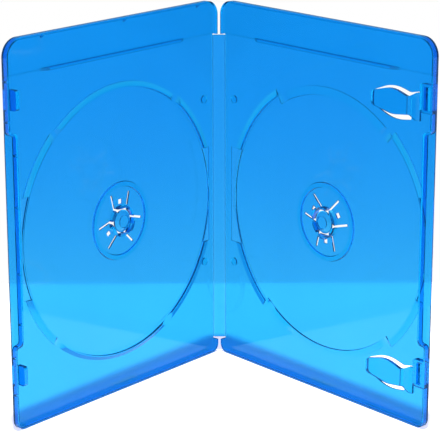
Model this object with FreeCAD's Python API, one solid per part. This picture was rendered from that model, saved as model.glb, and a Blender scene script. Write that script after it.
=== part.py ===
"""Slim two-disc video case, standing open like a book on its bottom edges.

Two shallow trays hang on a narrow spine by thin flexing webs. All sizes are in millimetres.
A cover is drawn in its own frame: X runs from its hinge axis to the free edge, Y is the depth
from the outer face towards the inside, and Z is up from the bottom edge.
"""
import FreeCAD
import Part
import math
import os
from FreeCAD import Vector

# Overall sizes of the closed case
CASE_HEIGHT = 171.5
CASE_WIDTH = 135.0
CASE_THICKNESS = 7.0
OPEN_HALF_ANGLE = 40.3

# Mouldings
PANEL = 1.0
WALL = 1.0
RIM_GAP = 0.2
OUTER_EDGE_RADIUS = 0.7
POCKET_STEP = 0.25
HEADER_HEIGHT = 16.0
FOOT_HEIGHT = 6.0
CORNER_TOP_FREE = 8.0
CORNER_TOP_SPINE = 7.0
CORNER_LOW = 4.0

# Flexing webs beside the spine
AXIS_DEPTH = 0.7
WEB_REACH = 0.65
WEB_THICKNESS = 0.4
BEAD_RADIUS = 0.28
BEAD_CLEARANCE = 0.08
HEADER_OVERHANG = 0.3
SPINE_END_GAP = 0.7

# Thumb recess in the free edge
RECESS_LOW = 38.4
RECESS_HIGH = 130.6
RECESS_INSET = 4.0
RECESS_CONVEX = 2.2
RECESS_CONCAVE = 1.5

# Disc wells: a ridge in arcs of (start angle, end angle, crest radius, outer slope's width, height).
# A crest that lies under the disc stays below the disc seat.
DISC_Z = 79.3
FRONT_DISC_X = 64.9
FRONT_ARCS = (
    (49.0, 127.0, 60.8, 2.2, 0.95),
    (127.0, 241.0, 61.6, 2.6, 0.95),
    (241.0, 311.0, 62.0, 1.8, 0.95),
    (311.0, 409.0, 61.4, 2.8, 0.95),
)
FRONT_SCOOPS = (49.0, 127.0, 241.0, 311.0)
FRONT_STRIP = 61.4
BACK_DISC_X = 69.2
BACK_ARCS = (
    (49.0, 121.0, 57.6, 3.6, 0.45),
    (121.0, 230.0, 61.4, 2.8, 0.8),
    (230.0, 312.0, 59.0, 2.6, 0.45),
    (312.0, 409.0, 61.4, 2.6, 0.8),
)
BACK_SCOOPS = (52.0, 118.0, 234.0, 309.0)
BACK_STRIP = 64.4
WELL_RADIUS = 60.4
WELL_DEPTH = 0.12
RIDGE_INNER = 0.25
RIDGE_CREST = 0.4
RIDGE_STEP = 0.25
LIP_RADIUS = 61.1
LIP_HEIGHT = 0.3
SCOOP_CHORD = 8.0
STRIP_DEPTH = 0.3
STRIP_HALF_HEIGHT = 22.9

# Disc hubs
SEAT_OUTER = 18.2
SEAT_INNER = 15.6
SEAT_HEIGHT = 0.5
SEAT_SLOPE = 0.3
COLLAR_OUTER = 7.25
COLLAR_INNER = 5.9
COLLAR_HEIGHT = 2.0
BARB_REACH = 0.5
FINGER_HALF_ANGLE = 23.5
FINGER_START = 6.15
FINGER_ROOT = 12.6
FINGER_TIP_HALF = 4.1
FINGER_ROOT_HALF = 5.8
SLIT_WIDTH = 1.0
WINDOW_SIDE = 2.3
WINDOW_RADIUS = 8.9
FRONT_FINGERS = (90.0, 210.0, 330.0)
BACK_FINGERS = (30.0, 150.0, 270.0)
BUTTON_RADIUS = 5.2
BUTTON_TOP_RADIUS = 3.0
BUTTON_HEIGHT = 2.4
BUTTON_DROP = 1.5
BUTTON_WALL = 0.7

# Catches at the free edge
CATCH_Z = (145.7, 24.6)
TAB_WIDTH = 8.8
TAB_THICKNESS = 2.0
TAB_OFFSET = 1.7
TAB_RISE = 1.9
TAB_CORNER = 1.2
SOCKET_WIDTH = 12.4
SOCKET_DEPTH = 6.2
SOCKET_PLAY = 0.25

# Booklet clips on the back cover
CLIP_Z = (141.0, 19.6)
CLIP_TIP_X = 98.4
CLIP_LENGTH = 27.4
CLIP_HOLE_HALF = 6.9
CLIP_RISE = 1.9
CLIP_TAIL_RISE = 1.1
CLIP_THICKNESS = 1.6

# Small features
BOSS_X = 7.3
BOSS_Z = (125.4, 46.5)
BOSS_RADIUS = 1.8
BOSS_HEIGHT = 0.7
LINE_WIDTH = 0.5
LINE_HEIGHT = 0.25
RIB_START = 21.0
RIB_LENGTH = 92.0
RIB_WIDTH = 1.2
RIB_HEIGHT = 2.0
RIB_RAMP = 4.0
GUSSET_Z = (153.6, 136.5, 32.8, 15.9)
GUSSET_RECESS_Z = (121.5, 99.0, 69.6, 47.0)
GUSSET_X = (111.8, 61.0, 11.8)
GUSSET_THICKNESS = 0.8
GUSSET_REACH = 1.7

HALF = CASE_THICKNESS / 2.0
RIM = HALF - RIM_GAP / 2.0
FREE_EDGE = CASE_WIDTH - AXIS_DEPTH
AXIS_OFFSET = HALF - AXIS_DEPTH
HEADER_Z = CASE_HEIGHT - HEADER_HEIGHT
FRONT_DISC = (FRONT_DISC_X, DISC_Z)
BACK_DISC = (BACK_DISC_X, DISC_Z)


def rounded_wire(corners, depth=0.0):
    """Closed wire at one depth through (x, z, radius) corners, each rounded by its radius."""
    points = [Vector(x, depth, z) for x, z, radius in corners]
    count = len(points)
    edges = []
    first = None
    last = None
    for i in range(count):
        corner = points[i]
        radius = corners[i][2]
        if radius <= 0.0:
            start, middle, end = corner, None, corner
        else:
            back = (points[i - 1] - corner).normalize()
            ahead = (points[(i + 1) % count] - corner).normalize()
            half = back.getAngle(ahead) / 2.0
            reach = radius / math.tan(half)
            centre = corner + (back + ahead).normalize() * (radius / math.sin(half))
            start = corner + back * reach
            end = corner + ahead * reach
            middle = centre + (corner - centre).normalize() * radius
        if last is not None and last.distanceToPoint(start) > 1e-6:
            edges.append(Part.LineSegment(last, start).toShape())
        if first is None:
            first = start
        if middle is not None:
            edges.append(Part.Arc(start, middle, end).toShape())
        last = end
    if last.distanceToPoint(first) > 1e-6:
        edges.append(Part.LineSegment(last, first).toShape())
    return Part.Wire(edges)


def prism(corners, low, high):
    """Solid between two depths over a rounded outline in X and Z."""
    face = Part.Face(rounded_wire(corners, low))
    return face.extrude(Vector(0, high - low, 0))


def block(x0, x1, y0, y1, z0, z1):
    return Part.makeBox(x1 - x0, y1 - y0, z1 - z0, Vector(x0, y0, z0))


def turned(profile, x, z):
    """Solid of revolution about the depth direction from (radius, depth) points."""
    points = [Vector(x + radius, depth, z) for radius, depth in profile]
    face = Part.Face(Part.makePolygon(points + points[:1]))
    return face.revolve(Vector(x, 0, z), Vector(0, 1, 0), 360)


def polar(x, z, radius, degrees, depth=0.0):
    angle = math.radians(degrees)
    return Vector(x + radius * math.cos(angle), depth, z + radius * math.sin(angle))


def spoke(x, z, inner, outer, width, degrees, low, high):
    """Straight bar along one radius of a hub, between two depths."""
    bar = block(x + inner, x + outer, low, high, z - width / 2.0, z + width / 2.0)
    bar.rotate(Vector(x, 0, z), Vector(0, 1, 0), -degrees)
    return bar


def panel_outline():
    """Outline of the flat panel, with the header and foot reaching past the hinge axis."""
    return [
        (-HEADER_OVERHANG, 0.0, CORNER_LOW),
        (FREE_EDGE, 0.0, CORNER_LOW),
        (FREE_EDGE, CASE_HEIGHT, CORNER_TOP_FREE),
        (-HEADER_OVERHANG, CASE_HEIGHT, CORNER_TOP_SPINE),
        (-HEADER_OVERHANG, HEADER_Z, 0.0),
        (WEB_REACH, HEADER_Z, 0.0),
        (WEB_REACH, FOOT_HEIGHT, 0.0),
        (-HEADER_OVERHANG, FOOT_HEIGHT, 0.0),
    ]


def wall_outline(inset, hinge_x):
    """Outline of the standing wall moved inwards, stepping round the thumb recess."""
    spine_x = inset - HEADER_OVERHANG
    edge_x = FREE_EDGE - inset
    recess_x = edge_x - RECESS_INSET
    convex = RECESS_CONVEX - inset
    concave = RECESS_CONCAVE + inset
    return [
        (spine_x, inset, CORNER_LOW - inset),
        (edge_x, inset, CORNER_LOW - inset),
        (edge_x, RECESS_LOW - inset, convex),
        (recess_x, RECESS_LOW - inset, concave),
        (recess_x, RECESS_HIGH + inset, concave),
        (edge_x, RECESS_HIGH + inset, convex),
        (edge_x, CASE_HEIGHT - inset, CORNER_TOP_FREE - inset),
        (spine_x, CASE_HEIGHT - inset, CORNER_TOP_SPINE - inset),
        (spine_x, HEADER_Z, 0.0),
        (hinge_x, HEADER_Z, 0.0),
        (hinge_x, FOOT_HEIGHT, 0.0),
        (spine_x, FOOT_HEIGHT, 0.0),
    ]


def plate():
    """Panel with a rounded outer edge on every side except along the hinge."""
    solid = prism(panel_outline(), 0.0, PANEL)
    chain = []
    for edge in solid.Edges:
        box = edge.BoundBox
        between = box.ZMin > FOOT_HEIGHT - 0.01 and box.ZMax < HEADER_Z + 0.01
        at_hinge = between and box.XMax < WEB_REACH + 0.01
        if box.YMax < 1e-6 and not at_hinge:
            chain.append(edge)
    return solid.makeFillet(OUTER_EDGE_RADIUS, chain)


def walls():
    """Standing wall round the tray, open along the hinge."""
    outside = prism(wall_outline(0.0, WEB_REACH), PANEL - 0.1, RIM)
    inside = prism(wall_outline(WALL, -5.0), PANEL, RIM + 1.0)
    return outside.cut(inside)


def hinge_lip():
    """Half of the flexing web on the cover side, hollowed round the bead on the hinge axis."""
    low = FOOT_HEIGHT + SPINE_END_GAP
    high = HEADER_Z - SPINE_END_GAP
    half = WEB_THICKNESS / 2.0
    web = block(0.0, WEB_REACH + 0.1, AXIS_DEPTH - half, AXIS_DEPTH + half, low, high)
    hollow = BEAD_RADIUS + BEAD_CLEARANCE
    return web.cut(Part.makeCylinder(hollow, high - low + 2.0, Vector(0, AXIS_DEPTH, low - 1.0)))


def sector(disc, start, end, reach):
    """Wedge round a disc centre between two angles, through the whole depth of a tray."""
    x, z = disc
    corners = [Vector(x, 0, z)]
    for degrees in (start, (start + end) / 2.0, end):
        corners.append(polar(x, z, reach, degrees))
    return Part.Face(Part.makePolygon(corners + corners[:1])).extrude(Vector(0, HALF, 0))


def strip_band(disc, half_width, low):
    """Bar across a disc well from one depth upwards, as high as the straight side strips."""
    x, z = disc
    return block(x - half_width, x + half_width, low, HALF, z - STRIP_HALF_HEIGHT, z + STRIP_HALF_HEIGHT)


def well_floor(disc):
    """Cutting tool for the slightly lower floor under the disc."""
    x, z = disc
    tool = Part.makeCylinder(WELL_RADIUS, HALF, Vector(x, PANEL - WELL_DEPTH, z), Vector(0, 1, 0))
    return tool.common(prism(wall_outline(WALL, -5.0), 0.0, HALF))


def side_strips(disc, strip):
    """Cutting tool for the shallow strip at each side of a disc well: an arc inside, straight outside."""
    x, z = disc
    disc_space = Part.makeCylinder(WELL_RADIUS, HALF, Vector(x, 0, z), Vector(0, 1, 0))
    tool = strip_band(disc, strip, PANEL - STRIP_DEPTH).cut(disc_space)
    return tool.common(prism(wall_outline(WALL, -5.0), 0.0, HALF))


def well_ridge(disc, arcs, scoops, strip):
    """Ridge round the disc in arcs, scooped for the fingertips, with a low lip along both side strips."""
    x, z = disc
    base = PANEL - 0.4
    foot = PANEL - 0.15
    across = strip_band(disc, 2.0 * strip, 0.0)
    inside = prism(wall_outline(WALL / 2.0, -5.0), 0.0, HALF)
    lip = turned([
        (LIP_RADIUS - RIDGE_INNER, base),
        (LIP_RADIUS, PANEL + LIP_HEIGHT),
        (LIP_RADIUS + RIDGE_INNER, PANEL + LIP_HEIGHT),
        (LIP_RADIUS + 2.0 * RIDGE_INNER, base),
    ], x, z)
    ridges = [lip.common(across).common(inside)]
    tallest = max(arc[4] for arc in arcs)
    scoop_radius = (SCOOP_CHORD ** 2 / 4.0 + tallest ** 2) / (2.0 * tallest)
    tray = inside.cut(across)
    for degrees in scoops:
        start = polar(x, z, WELL_RADIUS - 4.0, degrees, PANEL - 0.05 + scoop_radius)
        along = polar(0.0, 0.0, 1.0, degrees)
        tray = tray.cut(Part.makeCylinder(scoop_radius, 12.0, start, along))
    for start, end, radius, slope, height in arcs:
        inner = radius - RIDGE_INNER
        outer = radius + RIDGE_CREST + slope
        top = PANEL + height
        ring = turned([
            (inner, base),
            (inner, foot),
            (radius, top),
            (radius + RIDGE_CREST, top),
            (outer - 0.1, PANEL + RIDGE_STEP),
            (outer, foot),
            (outer, base),
        ], x, z)
        ridges.append(ring.common(sector(disc, start, end, 3.0 * radius)).common(tray))
    return ridges


def hub_rings(disc, fingers):
    """Disc seat, centring collar and the outward barbs on the three fingers."""
    x, z = disc
    base = PANEL - 0.2
    seat_top = PANEL + SEAT_HEIGHT
    seat = turned([
        (SEAT_INNER, base),
        (SEAT_INNER, PANEL - 0.1),
        (SEAT_INNER + SEAT_SLOPE, seat_top),
        (SEAT_OUTER - SEAT_SLOPE, seat_top),
        (SEAT_OUTER, PANEL - 0.1),
        (SEAT_OUTER, base),
    ], x, z)
    collar_top = PANEL + COLLAR_HEIGHT
    collar = turned([
        (COLLAR_INNER, base),
        (COLLAR_INNER, collar_top),
        (COLLAR_OUTER - 0.45, collar_top),
        (COLLAR_OUTER, collar_top - 0.6),
        (COLLAR_OUTER, base),
    ], x, z)
    barb = turned([
        (COLLAR_INNER, collar_top - 0.4),
        (COLLAR_INNER, collar_top + 0.3),
        (COLLAR_OUTER - 0.5, collar_top + 0.3),
        (COLLAR_OUTER + BARB_REACH, collar_top - 0.2),
        (COLLAR_OUTER, collar_top - 0.7),
        (COLLAR_OUTER - 0.4, collar_top - 0.7),
    ], x, z)
    solid = seat.fuse(collar)
    reach = COLLAR_OUTER * 2.0
    for degrees in fingers:
        corners = [
            Vector(x, PANEL, z),
            polar(x, z, reach, degrees - FINGER_HALF_ANGLE + 4.0, PANEL),
            polar(x, z, reach, degrees + FINGER_HALF_ANGLE - 4.0, PANEL),
        ]
        wedge = Part.Face(Part.makePolygon(corners + corners[:1])).extrude(Vector(0, HALF, 0))
        solid = solid.fuse(barb.common(wedge))
    return solid


def hub_openings(disc, fingers):
    """Centre hole, slits beside the tapered fingers and moulding windows, as tools to cut away."""
    x, z = disc
    tools = [Part.makeCylinder(COLLAR_INNER, HALF + 2.0, Vector(x, -1.0, z), Vector(0, 1, 0))]
    lean = math.atan2(FINGER_ROOT_HALF - FINGER_TIP_HALF, FINGER_ROOT - COLLAR_INNER)
    length = math.hypot(FINGER_ROOT_HALF - FINGER_TIP_HALF, FINGER_ROOT - COLLAR_INNER)
    start = Vector(x + COLLAR_INNER, 0, z)
    for degrees in fingers:
        for side in (-1.0, 1.0):
            slit = block(start.x - 1.5, start.x + length, -1.0, HALF + 1.0,
                         z - SLIT_WIDTH / 2.0, z + SLIT_WIDTH / 2.0)
            slit.rotate(start, Vector(0, 1, 0), -side * math.degrees(lean))
            slit.translate(Vector(0, 0, side * FINGER_TIP_HALF))
            slit.rotate(Vector(x, 0, z), Vector(0, 1, 0), -degrees)
            tools.append(slit)
        half = WINDOW_SIDE / 2.0
        tools.append(spoke(x, z, WINDOW_RADIUS - half, WINDOW_RADIUS + half, WINDOW_SIDE,
                           degrees, -1.0, PANEL + 0.05))
        tools.append(spoke(x, z, 0.0, FINGER_START, 2.0 * FINGER_TIP_HALF, degrees, -1.0, HALF + 1.0))
    return tools


def clip_outline(z):
    """Fish-shaped outline of a booklet clip: rounded tip, wide body, narrow neck and flared tail."""
    x = CLIP_TIP_X
    span = CLIP_LENGTH
    half = CLIP_HOLE_HALF
    return [
        (x, z + 0.52 * half, 2.0),
        (x + 0.42 * span, z + 0.95 * half, 16.0),
        (x + 0.76 * span, z + 0.56 * half, 1.6),
        (x + 0.93 * span, z + 0.90 * half, 1.0),
        (x + span, z + 0.90 * half, 0.0),
        (x + span, z - 0.84 * half, 0.0),
        (x + 0.90 * span, z - 0.84 * half, 1.0),
        (x + 0.78 * span, z - 0.56 * half, 1.6),
        (x + 0.44 * span, z - 0.74 * half, 16.0),
        (x, z - 0.40 * half, 2.0),
    ]


def clip_hole(z):
    """Eye-shaped hole under a clip, with a slit running on beside the neck at the upper edge."""
    x = CLIP_TIP_X
    span = CLIP_LENGTH
    half = CLIP_HOLE_HALF
    return [
        (x - 0.4, z + 0.50 * half, 1.5),
        (x + 0.42 * span, z + 1.16 * half, 20.0),
        (x + 0.78 * span, z + 0.80 * half, 4.0),
        (x + 0.96 * span, z + 0.96 * half, 0.0),
        (x + 0.96 * span, z + 0.86 * half, 0.0),
        (x + 0.80 * span, z + 0.40 * half, 0.6),
        (x + 0.80 * span, z - 0.90 * half, 1.0),
        (x + 0.44 * span, z - 1.12 * half, 20.0),
        (x - 0.4, z - 0.46 * half, 1.5),
    ]


def clip_tongue(z):
    """Sprung tongue: a tail pad on the panel, a riser at the neck and a body that stands clear."""
    x = CLIP_TIP_X
    neck = x + 0.78 * CLIP_LENGTH
    tail = x + CLIP_LENGTH
    top = PANEL + CLIP_RISE
    profile = [
        (tail + 0.6, PANEL - 0.2),
        (tail + 0.6, PANEL + 0.7 * CLIP_TAIL_RISE),
        (tail - 2.0, PANEL + CLIP_TAIL_RISE),
        (neck + 0.6, PANEL + CLIP_TAIL_RISE),
        (neck - 0.6, top),
        (x + 7.0, top - 0.15),
        (x - 0.2, top + 0.3),
        (x - 0.2, top + 0.3 - CLIP_THICKNESS),
        (x + 7.0, top - 0.15 - CLIP_THICKNESS),
        (neck - 1.5, top - CLIP_THICKNESS),
        (neck - 0.3, PANEL - 0.2),
    ]
    points = [Vector(px, py, z - 2.0 * CLIP_HOLE_HALF) for px, py in profile]
    bent = Part.Face(Part.makePolygon(points + points[:1])).extrude(Vector(0, 0, 4.0 * CLIP_HOLE_HALF))
    return bent.common(prism(clip_outline(z), 0.0, HALF + 1.0))


def catch_tab(z):
    """Rounded tab near the free-edge wall that stands past the rim."""
    edge = FREE_EDGE - WALL
    outer = edge - TAB_OFFSET
    inner = outer - TAB_THICKNESS
    half = TAB_WIDTH / 2.0
    low = block(inner, edge + 0.2, PANEL - 0.1, PANEL + 0.6, z - half, z + half)
    high = block(inner, outer, PANEL, HALF + TAB_RISE, z - half, z + half)
    top_edges = []
    for edge_line in high.Edges:
        box = edge_line.BoundBox
        if box.YMin > HALF + TAB_RISE - 0.01 and box.XMax - box.XMin > TAB_THICKNESS / 2.0:
            top_edges.append(edge_line)
    return low.fuse(high.makeFillet(TAB_CORNER, top_edges))


def catch_socket(z):
    """Box beside the free-edge wall with a slot that takes the opposite tab."""
    edge = FREE_EDGE - WALL
    half = SOCKET_WIDTH / 2.0
    slot_half = TAB_WIDTH / 2.0 + 2.0 * SOCKET_PLAY
    slot_outer = edge - TAB_OFFSET + SOCKET_PLAY
    slot_inner = edge - TAB_OFFSET - TAB_THICKNESS - SOCKET_PLAY
    shell = prism([
        (edge - SOCKET_DEPTH, z - half, 1.0),
        (edge + 0.2, z - half, 0.0),
        (edge + 0.2, z + half, 0.0),
        (edge - SOCKET_DEPTH, z + half, 1.0),
    ], PANEL - 0.1, RIM)
    slot = block(slot_inner, slot_outer, PANEL, RIM + 1.0, z - slot_half, z + slot_half)
    return shell.cut(slot)


def gusset(corner, into, along):
    """Small triangular web in the corner between a wall and the panel."""
    rise = RIM - PANEL - 0.6
    points = [
        corner - into * 0.2 - Vector(0, 0.2, 0),
        corner + into * GUSSET_REACH - Vector(0, 0.2, 0),
        corner + into * GUSSET_REACH,
        corner + Vector(0, rise, 0),
        corner - into * 0.2 + Vector(0, rise, 0),
    ]
    face = Part.Face(Part.makePolygon(points + points[:1]))
    face.translate(along * (-GUSSET_THICKNESS / 2.0))
    return face.extrude(along * GUSSET_THICKNESS)


def gussets():
    up = Vector(0, 0, 1)
    out = Vector(1, 0, 0)
    solids = []
    for z in GUSSET_Z:
        solids.append(gusset(Vector(FREE_EDGE - WALL, PANEL, z), out * -1.0, up))
    for z in GUSSET_RECESS_Z:
        solids.append(gusset(Vector(FREE_EDGE - RECESS_INSET - WALL, PANEL, z), out * -1.0, up))
    for x in GUSSET_X:
        solids.append(gusset(Vector(x, PANEL, CASE_HEIGHT - WALL), up * -1.0, out))
    return solids


def header_rib():
    """Fine line under the header, with a stiffening rib along its middle that ramps down at both ends."""
    z = HEADER_Z + 0.1
    base = PANEL - 0.1
    fine = LINE_WIDTH / 2.0
    line = block(WALL / 2.0, FREE_EDGE - WALL / 2.0, base, PANEL + LINE_HEIGHT, z - fine, z + fine)
    end = RIB_START + RIB_LENGTH
    profile = [
        (RIB_START, base),
        (RIB_START + RIB_RAMP, PANEL + RIB_HEIGHT),
        (end - RIB_RAMP, PANEL + RIB_HEIGHT),
        (end, base),
    ]
    points = [Vector(x, y, z - RIB_WIDTH / 2.0) for x, y in profile]
    rib = Part.Face(Part.makePolygon(points + points[:1])).extrude(Vector(0, 0, RIB_WIDTH))
    return line.fuse(rib)


def bosses():
    base = PANEL - 0.1
    return [Part.makeCylinder(BOSS_RADIUS, BOSS_HEIGHT + 0.1, Vector(BOSS_X, base, z), Vector(0, 1, 0))
            for z in BOSS_Z]


def cover(disc, well, fingers, extras, holes):
    """One tray: panel, walls, hinge lip, disc well and hub, then its own catches and clips."""
    arcs, scoops, strip = well
    solid = plate().fuse([walls(), hinge_lip(), header_rib()] + bosses())
    pocket = block(-5.0, CASE_WIDTH + 5.0, -1.0, POCKET_STEP, -5.0, HEADER_Z)
    solid = solid.cut([pocket, well_floor(disc), side_strips(disc, strip)] + holes)
    raised = well_ridge(disc, arcs, scoops, strip) + [hub_rings(disc, fingers)]
    solid = solid.fuse(raised + extras)
    solid = solid.cut(hub_openings(disc, fingers))
    return solid.removeSplitter()


def front_cover():
    """Left tray, with the catch tabs and the wall gussets."""
    well = (FRONT_ARCS, FRONT_SCOOPS, FRONT_STRIP)
    extras = [catch_tab(z) for z in CATCH_Z] + gussets()
    return cover(FRONT_DISC, well, FRONT_FINGERS, extras, [])


def back_cover():
    """Right tray, with the catch sockets and the booklet clips."""
    well = (BACK_ARCS, BACK_SCOOPS, BACK_STRIP)
    extras = [catch_socket(z) for z in CATCH_Z] + [clip_tongue(z) for z in CLIP_Z]
    holes = [prism(clip_hole(z), -1.0, HALF) for z in CLIP_Z]
    return cover(BACK_DISC, well, BACK_FINGERS, extras, holes)


def hub_button(disc):
    """Push button in the middle of a hub: a thin cap with a flat top and a conical skirt."""
    top = PANEL + BUTTON_HEIGHT
    rim = top - BUTTON_DROP
    low = rim - BUTTON_WALL / 2.0
    return turned([
        (0.0, top),
        (BUTTON_TOP_RADIUS, top),
        (BUTTON_RADIUS, rim),
        (BUTTON_RADIUS, low),
        (BUTTON_RADIUS - BUTTON_WALL, low),
        (BUTTON_TOP_RADIUS - BUTTON_WALL / 3.0, top - BUTTON_WALL),
        (0.0, top - BUTTON_WALL),
    ], disc[0], disc[1])


def spine():
    """Narrow back plate, with a web and a round bead along each hinge axis."""
    low = FOOT_HEIGHT + SPINE_END_GAP
    high = HEADER_Z - SPINE_END_GAP
    edge = AXIS_OFFSET - WEB_REACH
    half = WEB_THICKNESS / 2.0
    solid = block(-edge, edge, AXIS_DEPTH - PANEL, AXIS_DEPTH - POCKET_STEP, low, high)
    webs = block(-AXIS_OFFSET, AXIS_OFFSET, -half, half, low, high)
    beads = [Part.makeCylinder(BEAD_RADIUS, high - low, Vector(side * AXIS_OFFSET, 0, low))
             for side in (-1.0, 1.0)]
    return solid.fuse([webs] + beads).removeSplitter()


def swing_left(shape):
    """Put a front piece on the left hinge axis at the rest angle."""
    shape.translate(Vector(0, -AXIS_DEPTH, 0))
    shape.rotate(Vector(0, 0, 0), Vector(0, 0, 1), -90.0 - OPEN_HALF_ANGLE)
    shape.translate(Vector(-AXIS_OFFSET, 0, 0))
    return shape


def swing_right(shape):
    """Mirror a back piece and put it on the right hinge axis at the rest angle."""
    shape = shape.mirror(Vector(0, 0, 0), Vector(0, 1, 0))
    shape.translate(Vector(0, AXIS_DEPTH, 0))
    shape.rotate(Vector(0, 0, 0), Vector(0, 0, 1), -90.0 + OPEN_HALF_ANGLE)
    shape.translate(Vector(AXIS_OFFSET, 0, 0))
    return shape


def centre_depth(shapes):
    """Depth of the middle of the open case's footprint, which becomes the origin."""
    box = Part.makeCompound(shapes).optimalBoundingBox(False)
    return (box.YMin + box.YMax) / 2.0


def main():
    os.makedirs("parts", exist_ok=True)
    nodes = {
        "spine": spine(),
        "front_cover": swing_left(front_cover()),
        "back_cover": swing_right(back_cover()),
        "front_hub_button": swing_left(hub_button(FRONT_DISC)),
        "back_hub_button": swing_right(hub_button(BACK_DISC)),
    }
    middle = centre_depth(list(nodes.values()))
    for name, shape in nodes.items():
        shape.translate(Vector(0, -middle, 0))
        solid = shape.Solids[0]
        solid.exportStep("parts/" + name + ".step")


main()
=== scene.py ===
import math

import bpy
from bpy.props import FloatProperty, FloatVectorProperty, PointerProperty
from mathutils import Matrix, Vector

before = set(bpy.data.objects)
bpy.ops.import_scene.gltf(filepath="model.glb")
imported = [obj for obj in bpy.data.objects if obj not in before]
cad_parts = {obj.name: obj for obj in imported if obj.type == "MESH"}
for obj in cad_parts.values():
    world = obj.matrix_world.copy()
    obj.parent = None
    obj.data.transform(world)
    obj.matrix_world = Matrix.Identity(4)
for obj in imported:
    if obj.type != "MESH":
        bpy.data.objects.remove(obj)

bl_info = {
    "name": "Slim disc case",
    "version": (1, 0, 0),
    "blender": (4, 5, 0),
    "location": "View3D > Sidebar > Disc case",
    "description": "Dresses an open translucent disc case and sets its small studio",
    "category": "Object",
}

COVER_NODES = ("front_cover", "back_cover")
SPINE_NODE = "spine"
BUTTON_NODES = ("front_hub_button", "back_hub_button")
WHITE = (1.0, 1.0, 1.0)

# Moulded surface: each noise has its bumps per metre and its detail
FLOW_NOISE = (38.0, 2.0)
HAZE_NOISE = (14.0, 4.0)
STREAK_NOISE = (24.0, 3.0)
RUB_NOISE = (9.0, 1.0)
STREAK_STRETCH = 0.3
SCUFF_LINE = (0.001, 0.003)
SCUFFED_HAZE = (0.52, 0.62)

# Plastic: the shares are the least and the most of a mean value
REFRACTION = 1.49
REFLECTION = 0.2
DYE_SHARES = (0.95, 1.05)
ROUGHNESS_SHARES = (0.7, 1.3)

# Stage: lengths in metres, slopes as the upward part of a direction
FLOOR_REACH = 2.5
FLOOR_DROP = 0.0002
LAMP_PLACE = (0.0, -0.33, 3.0)
LAMP_AIM = (0.0, 0.0, 0.05)
LAMP_SIZE = 0.12
LAMP_POWER = 92.0
BACKDROP_SLOPES = (-0.30, -0.19)
CEILING_SLOPES = (0.0, 0.35)
SCREENS = 6.0
SCREEN_EDGE = 0.6
SENSOR_WIDTH_MM = 36.0
CAMERA_CLIP = (0.01, 20.0)


class PlasticSettings(bpy.types.PropertyGroup):
    tint: FloatVectorProperty(
        name="Surface tint",
        description="Colour that each surface of the plastic lets through",
        subtype="COLOR", size=3, min=0.0, max=1.0, default=(0.085, 0.47, 1.0))
    shadow_tint: FloatVectorProperty(
        name="Shadow tint",
        description="Colour of the light that falls through a panel on to the floor",
        subtype="COLOR", size=3, min=0.0, max=1.0, default=(0.001, 0.03, 0.5))
    sheen_tint: FloatVectorProperty(
        name="Reflection tint",
        description="Colour of what the surface mirrors when it is looked at squarely",
        subtype="COLOR", size=3, min=0.0, max=1.0, default=(0.1, 0.5, 1.0))
    depth_colour: FloatVectorProperty(
        name="Depth colour",
        description="Colour that light takes on its way through the plastic",
        subtype="COLOR", size=3, min=0.0, max=1.0, default=(0.0, 0.945, 0.98))
    clearness: FloatProperty(
        name="Clearness",
        description="Share of the light that goes straight on, the rest being scattered",
        min=0.0, max=1.0, subtype="FACTOR", default=0.94)
    depth_density: FloatProperty(
        name="Depth density",
        description="How fast the plastic takes up light, per metre",
        min=0.0, default=1400.0)
    gloss_roughness: FloatProperty(
        name="Roughness",
        description="Mean roughness of the moulded surface",
        min=0.0, max=1.0, subtype="FACTOR", default=0.07)
    scuff_roughness: FloatProperty(
        name="Scuff roughness",
        description="Roughness that the fine handling marks add",
        min=0.0, max=1.0, subtype="FACTOR", default=0.15)
    flow_relief: FloatProperty(
        name="Flow relief",
        description="Height of the faint moulding waves",
        min=0.0, default=0.000015, unit="LENGTH")


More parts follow.
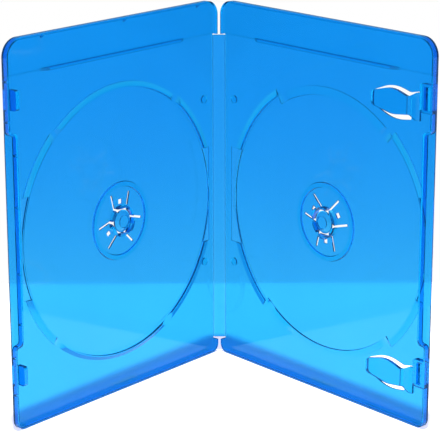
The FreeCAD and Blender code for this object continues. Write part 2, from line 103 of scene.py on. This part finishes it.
class StudioSettings(bpy.types.PropertyGroup):
    floor_colour: FloatVectorProperty(
        name="Floor colour",
        description="Colour of the floor",
        subtype="COLOR", size=3, min=0.0, max=1.0, default=(0.9, 0.9, 0.9))
    floor_glow: FloatProperty(
        name="Floor glow",
        description="Light that the floor adds to its own look, and to nothing else",
        min=0.0, max=1.0, default=0.65)
    floor_shown: FloatProperty(
        name="Floor glow in the plastic",
        description="The same light as the plastic shows or mirrors it",
        min=0.0, max=1.0, default=0.36)
    floor_back_edge: FloatProperty(
        name="Floor back edge",
        description="Distance of the floor's back edge behind the origin",
        unit="LENGTH", default=0.158)
    backdrop_colour: FloatVectorProperty(
        name="Backdrop colour",
        description="Colour of the upper backdrop as the plastic shows it",
        subtype="COLOR", size=3, min=0.0, max=1.0, default=(0.3, 0.7, 0.95))
    ceiling_level: FloatProperty(
        name="Ceiling level",
        description="Brightness of the room above the case",
        min=0.0, max=1.0, default=0.7)
    mirror_level: FloatProperty(
        name="Mirror level",
        description="Share of the room's brightness that the plastic's surface mirrors",
        min=0.0, max=1.0, default=0.7)
    gap_level: FloatProperty(
        name="Gap level",
        description="Brightness of the gaps between the pale screens round the case",
        min=0.0, max=1.0, default=0.5)
    room_light: FloatProperty(
        name="Room light",
        description="Light that the surroundings cast on the case and the floor",
        min=0.0, max=1.0, default=0.15)
    camera_back: FloatProperty(
        name="Camera distance",
        description="Distance of the camera in front of the origin",
        unit="LENGTH", default=0.8129)
    camera_side: FloatProperty(
        name="Camera offset",
        description="Sideways place of the camera",
        unit="LENGTH", default=-0.0043)
    camera_height: FloatProperty(
        name="Camera height",
        description="Height of the camera above the floor",
        unit="LENGTH", default=0.3100)
    camera_pitch: FloatProperty(
        name="Camera pitch",
        description="How far the camera looks down",
        subtype="ANGLE", default=math.radians(15.66))
    camera_yaw: FloatProperty(
        name="Camera yaw",
        description="How far the camera looks to the right",
        subtype="ANGLE", default=math.radians(0.34))
    camera_roll: FloatProperty(
        name="Camera roll",
        description="Tilt of the picture, clockwise",
        subtype="ANGLE", default=math.radians(0.11))
    camera_lens: FloatProperty(
        name="Camera lens",
        description="Focal length on a 36 mm wide sensor, in millimetres",
        default=154.1)


def new_material(name):
    """Empty node material: returns it with its node tree and output."""
    material = bpy.data.materials.new(name)
    material.use_nodes = True
    tree = material.node_tree
    tree.nodes.clear()
    output = tree.nodes.new("ShaderNodeOutputMaterial")
    return material, tree, output


def calculate(nodes, links, operation, *values):
    """Math node on sockets or plain numbers: returns its output."""
    node = nodes.new("ShaderNodeMath")
    node.operation = operation
    for socket, value in zip(node.inputs, values):
        if isinstance(value, float):
            socket.default_value = value
        else:
            links.new(value, socket)
    return node.outputs["Value"]


def ramp(nodes, links, value, span, levels):
    """Straight change from the first level to the second while a value crosses a span."""
    node = nodes.new("ShaderNodeMapRange")
    node.inputs["From Min"].default_value, node.inputs["From Max"].default_value = span
    node.inputs["To Min"].default_value, node.inputs["To Max"].default_value = levels
    links.new(value, node.inputs["Value"])
    return node.outputs["Result"]


def noise(nodes, links, place, scale, detail):
    """Noise between 0 and 1 with about as many bumps per metre as its scale."""
    node = nodes.new("ShaderNodeTexNoise")
    node.inputs["Scale"].default_value = scale
    node.inputs["Detail"].default_value = detail
    links.new(place, node.inputs["Vector"])
    return node.outputs["Fac"]


def blend(nodes, links, factor, first, second):
    """Colour between two, each a plain colour or a socket: returns the output."""
    node = nodes.new("ShaderNodeMix")
    node.data_type = "RGBA"
    links.new(factor, node.inputs["Factor"])
    for socket, colour in ((node.inputs["A"], first), (node.inputs["B"], second)):
        if isinstance(colour, tuple):
            socket.default_value = (*colour, 1.0)
        else:
            links.new(colour, socket)
    return node.outputs["Result"]


def by_plastic(nodes, links, rays):
    """1 for the rays that the plastic mirrors or lets through, otherwise 0."""
    return calculate(nodes, links, "MAXIMUM",
                     rays.outputs["Is Glossy Ray"], rays.outputs["Is Transmission Ray"])


def moulded_surface_group():
    """Shared look of a polished moulding that has been handled, from four noises.

    Height is a smooth noise, for the waves that the flowing plastic leaves. Haze is a broader one
    with more detail. Streak is a noise stretched along the height, for uneven dye. Scuff is 1 on
    the thin lines where a noise crosses its middle value, and only where the haze is strong.
    """
    name = "moulded surface"
    if name in bpy.data.node_groups:
        return bpy.data.node_groups[name]
    group = bpy.data.node_groups.new(name, "ShaderNodeTree")
    group.interface.new_socket("Vector", in_out="INPUT", socket_type="NodeSocketVector")
    for output in ("Height", "Haze", "Streak", "Scuff"):
        group.interface.new_socket(output, in_out="OUTPUT", socket_type="NodeSocketFloat")
    nodes, links = group.nodes, group.links
    inlet = nodes.new("NodeGroupInput")
    outlet = nodes.new("NodeGroupOutput")
    stretch = nodes.new("ShaderNodeMapping")
    stretch.inputs["Scale"].default_value = (1.0, 1.0, STREAK_STRETCH)
    links.new(inlet.outputs["Vector"], stretch.inputs["Vector"])
    flow = noise(nodes, links, inlet.outputs["Vector"], *FLOW_NOISE)
    haze = noise(nodes, links, inlet.outputs["Vector"], *HAZE_NOISE)
    streak = noise(nodes, links, stretch.outputs["Vector"], *STREAK_NOISE)
    rub = noise(nodes, links, inlet.outputs["Vector"], *RUB_NOISE)
    off_middle = calculate(nodes, links, "ABSOLUTE", calculate(nodes, links, "SUBTRACT", rub, 0.5))
    line = ramp(nodes, links, off_middle, SCUFF_LINE, (1.0, 0.0))
    worn = ramp(nodes, links, haze, SCUFFED_HAZE, (0.0, 1.0))
    links.new(flow, outlet.inputs["Height"])
    links.new(haze, outlet.inputs["Haze"])
    links.new(streak, outlet.inputs["Streak"])
    links.new(calculate(nodes, links, "MULTIPLY", line, worn), outlet.inputs["Scuff"])
    return group


def plastic_material(name, settings):
    """Dyed clear plastic: refracting surface with a tint, and plain absorption in its depth.

    Shadow rays take the shadow tint instead, so that the lamp shines through the panels.
    """
    material, tree, output = new_material(name)
    nodes, links = tree.nodes, tree.links
    place = nodes.new("ShaderNodeTexCoord")
    surface = nodes.new("ShaderNodeGroup")
    surface.node_tree = moulded_surface_group()
    links.new(place.outputs["Object"], surface.inputs["Vector"])
    shader = nodes.new("ShaderNodeBsdfPrincipled")
    deep, pale = [tuple(min(v * share, 1.0) for v in settings.tint) for share in DYE_SHARES]
    links.new(blend(nodes, links, surface.outputs["Streak"], deep, pale), shader.inputs["Base Color"])
    shader.inputs["Transmission Weight"].default_value = settings.clearness
    shader.inputs["IOR"].default_value = REFRACTION
    shader.inputs["Specular IOR Level"].default_value = REFLECTION
    shader.inputs["Specular Tint"].default_value = (*settings.sheen_tint, 1.0)
    rough = ramp(nodes, links, surface.outputs["Haze"], (0.0, 1.0),
                 [settings.gloss_roughness * share for share in ROUGHNESS_SHARES])
    scuffed = calculate(nodes, links, "MULTIPLY", surface.outputs["Scuff"], settings.scuff_roughness)
    links.new(calculate(nodes, links, "ADD", rough, scuffed), shader.inputs["Roughness"])
    bump = nodes.new("ShaderNodeBump")
    bump.inputs["Distance"].default_value = settings.flow_relief
    links.new(surface.outputs["Height"], bump.inputs["Height"])
    links.new(bump.outputs["Normal"], shader.inputs["Normal"])
    shade = nodes.new("ShaderNodeBsdfTransparent")
    shade.inputs["Color"].default_value = (*[math.sqrt(v) for v in settings.shadow_tint], 1.0)
    rays = nodes.new("ShaderNodeLightPath")
    mix = nodes.new("ShaderNodeMixShader")
    links.new(rays.outputs["Is Shadow Ray"], mix.inputs["Fac"])
    links.new(shader.outputs["BSDF"], mix.inputs[1])
    links.new(shade.outputs["BSDF"], mix.inputs[2])
    links.new(mix.outputs["Shader"], output.inputs["Surface"])
    depth = nodes.new("ShaderNodeVolumeAbsorption")
    depth.inputs["Color"].default_value = (*settings.depth_colour, 1.0)
    depth.inputs["Density"].default_value = settings.depth_density
    links.new(depth.outputs["Volume"], output.inputs["Volume"])
    return material


def dress(node, material):
    """Gives one solid of the frame its material."""
    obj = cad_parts[node]
    obj.data.materials.clear()
    obj.data.materials.append(material)


def floor_material(settings):
    """Matt floor that keeps shadows, with a little light of its own for what looks at it."""
    material, tree, output = new_material("pale floor")
    nodes, links = tree.nodes, tree.links
    matt = nodes.new("ShaderNodeBsdfDiffuse")
    matt.inputs["Color"].default_value = (*settings.floor_colour, 1.0)
    glow = nodes.new("ShaderNodeEmission")
    rays = nodes.new("ShaderNodeLightPath")
    direct = calculate(nodes, links, "MULTIPLY", rays.outputs["Is Camera Ray"], settings.floor_glow)
    shown = calculate(nodes, links, "MULTIPLY", by_plastic(nodes, links, rays), settings.floor_shown)
    links.new(calculate(nodes, links, "ADD", direct, shown), glow.inputs["Strength"])
    both = nodes.new("ShaderNodeAddShader")
    links.new(matt.outputs["BSDF"], both.inputs[0])
    links.new(glow.outputs["Emission"], both.inputs[1])
    links.new(both.outputs["Shader"], output.inputs["Surface"])
    return material


def add_floor(settings):
    """Flat rectangle from far in front of the case to the back edge behind it."""
    left, right, near, far = -FLOOR_REACH, FLOOR_REACH, -FLOOR_REACH, settings.floor_back_edge
    corners = [(left, near, -FLOOR_DROP), (right, near, -FLOOR_DROP),
               (right, far, -FLOOR_DROP), (left, far, -FLOOR_DROP)]
    mesh = bpy.data.meshes.new("floor")
    mesh.from_pydata(corners, [], [(0, 1, 2, 3)])
    floor = bpy.data.objects.new("floor", mesh)
    floor.data.materials.append(floor_material(settings))
    bpy.context.scene.collection.objects.link(floor)


def add_lamp():
    """Small square lamp high above the case, turned so that its face looks at it."""
    light = bpy.data.lights.new("top softbox", "AREA")
    light.shape = "SQUARE"
    light.size = LAMP_SIZE
    light.energy = LAMP_POWER
    lamp = bpy.data.objects.new("top softbox", light)
    bpy.context.scene.collection.objects.link(lamp)
    way = Vector(LAMP_AIM) - Vector(LAMP_PLACE)
    lamp.location = LAMP_PLACE
    lamp.rotation_euler = way.to_track_quat("-Z", "Y").to_euler()
    lamp.visible_glossy = False
    lamp.visible_transmission = False


def add_world(settings):
    """Pale room: white to the camera, graded where the plastic shows or mirrors it, dim as a light.

    The backdrop's colour goes over into white with the square of how far a direction points down,
    and the room grows dimmer towards its ceiling. The strength also follows the cosine of the
    compass angle times the number of pale screens that stand round the case, with dimmer gaps.
    """
    world = bpy.data.worlds.new("pale room")
    bpy.context.scene.world = world
    world.use_nodes = True
    nodes, links = world.node_tree.nodes, world.node_tree.links
    nodes.clear()
    output = nodes.new("ShaderNodeOutputWorld")
    sky = nodes.new("ShaderNodeBackground")
    way = nodes.new("ShaderNodeTexCoord")
    axes = nodes.new("ShaderNodeSeparateXYZ")
    links.new(way.outputs["Generated"], axes.inputs["Vector"])
    rays = nodes.new("ShaderNodeLightPath")
    plastic_sees = by_plastic(nodes, links, rays)
    down = ramp(nodes, links, axes.outputs["Z"], BACKDROP_SLOPES, (1.0, 0.0))
    backdrop = blend(nodes, links, calculate(nodes, links, "MULTIPLY", down, down),
                     tuple(settings.backdrop_colour), WHITE)
    links.new(blend(nodes, links, plastic_sees, WHITE, backdrop), sky.inputs["Color"])
    high = ramp(nodes, links, axes.outputs["Z"], CEILING_SLOPES, (1.0, settings.ceiling_level))
    turn = calculate(nodes, links, "ARCTAN2", axes.outputs["X"], axes.outputs["Y"])
    wave = calculate(nodes, links, "COSINE", calculate(nodes, links, "MULTIPLY", turn, SCREENS))
    screens = ramp(nodes, links, wave, (-1.0, SCREEN_EDGE), (settings.gap_level, 1.0))
    mirror = ramp(nodes, links, rays.outputs["Is Reflection Ray"], (0.0, 1.0),
                  (1.0, settings.mirror_level))
    seen = calculate(nodes, links, "MULTIPLY", high, screens)
    graded = calculate(nodes, links, "MULTIPLY", seen, mirror)
    room = calculate(nodes, links, "MAXIMUM", rays.outputs["Is Camera Ray"], settings.room_light)
    level = nodes.new("ShaderNodeMix")
    links.new(plastic_sees, level.inputs["Factor"])
    links.new(room, level.inputs["A"])
    links.new(graded, level.inputs["B"])
    links.new(level.outputs["Result"], sky.inputs["Strength"])
    links.new(sky.outputs["Background"], output.inputs["Surface"])


def add_camera(settings):
    """Camera at the photograph's place, as it was fitted to the outlines of both covers."""
    data = bpy.data.cameras.new("camera")
    data.sensor_fit = "HORIZONTAL"
    data.sensor_width = SENSOR_WIDTH_MM
    data.lens = settings.camera_lens
    data.clip_start, data.clip_end = CAMERA_CLIP
    camera = bpy.data.objects.new("camera", data)
    camera.location = (settings.camera_side, -settings.camera_back, settings.camera_height)
    upright = math.pi / 2.0 - settings.camera_pitch
    camera.rotation_euler = (upright, settings.camera_roll, -settings.camera_yaw)
    bpy.context.scene.collection.objects.link(camera)
    bpy.context.scene.camera = camera


class DISCCASE_OT_covers(bpy.types.Operator):
    """Dresses both covers in translucent blue plastic"""
    bl_idname = "disccase.covers"
    bl_label = "Covers"

    def execute(self, context):
        material = plastic_material("cover plastic", context.scene.disccase_plastic)
        for node in COVER_NODES:
            dress(node, material)
        return {"FINISHED"}


class DISCCASE_OT_spine(bpy.types.Operator):
    """Dresses the spine in translucent blue plastic"""
    bl_idname = "disccase.spine"
    bl_label = "Spine"

    def execute(self, context):
        dress(SPINE_NODE, plastic_material("spine plastic", context.scene.disccase_plastic))
        return {"FINISHED"}


class DISCCASE_OT_buttons(bpy.types.Operator):
    """Dresses the two hub buttons in translucent blue plastic"""
    bl_idname = "disccase.buttons"
    bl_label = "Hub buttons"

    def execute(self, context):
        material = plastic_material("button plastic", context.scene.disccase_plastic)
        for node in BUTTON_NODES:
            dress(node, material)
        return {"FINISHED"}


class DISCCASE_OT_stage(bpy.types.Operator):
    """Adds the floor, the lamp, the pale surroundings and the camera"""
    bl_idname = "disccase.stage"
    bl_label = "Stage"

    def execute(self, context):
        settings = context.scene.disccase_studio
        add_floor(settings)
        add_world(settings)
        add_lamp()
        add_camera(settings)
        context.scene.view_settings.view_transform = "Standard"
        return {"FINISHED"}


class DISCCASE_PT_sidebar(bpy.types.Panel):
    """Lists the steps that dress the case"""
    bl_idname = "DISCCASE_PT_sidebar"
    bl_label = "Disc case"
    bl_space_type = "VIEW_3D"
    bl_region_type = "UI"
    bl_category = "Disc case"

    def draw(self, context):
        layout = self.layout
        for operator in OPERATORS:
            layout.operator(operator.bl_idname)
        for settings in (context.scene.disccase_plastic, context.scene.disccase_studio):
            for name in settings.__annotations__:
                layout.prop(settings, name)


SETTINGS = (PlasticSettings, StudioSettings)
OPERATORS = (DISCCASE_OT_covers, DISCCASE_OT_spine, DISCCASE_OT_buttons, DISCCASE_OT_stage)


def register():
    for cls in SETTINGS + OPERATORS + (DISCCASE_PT_sidebar,):
        bpy.utils.register_class(cls)
    bpy.types.Scene.disccase_plastic = PointerProperty(type=PlasticSettings)
    bpy.types.Scene.disccase_studio = PointerProperty(type=StudioSettings)


def unregister():
    del bpy.types.Scene.disccase_studio
    del bpy.types.Scene.disccase_plastic
    for cls in reversed(SETTINGS + OPERATORS + (DISCCASE_PT_sidebar,)):
        bpy.utils.unregister_class(cls)


def main():
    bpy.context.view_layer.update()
    register()
    bpy.ops.disccase.covers()
    bpy.ops.disccase.spine()
    bpy.ops.disccase.buttons()
    bpy.ops.disccase.stage()


if __name__ == "__main__":
    main()
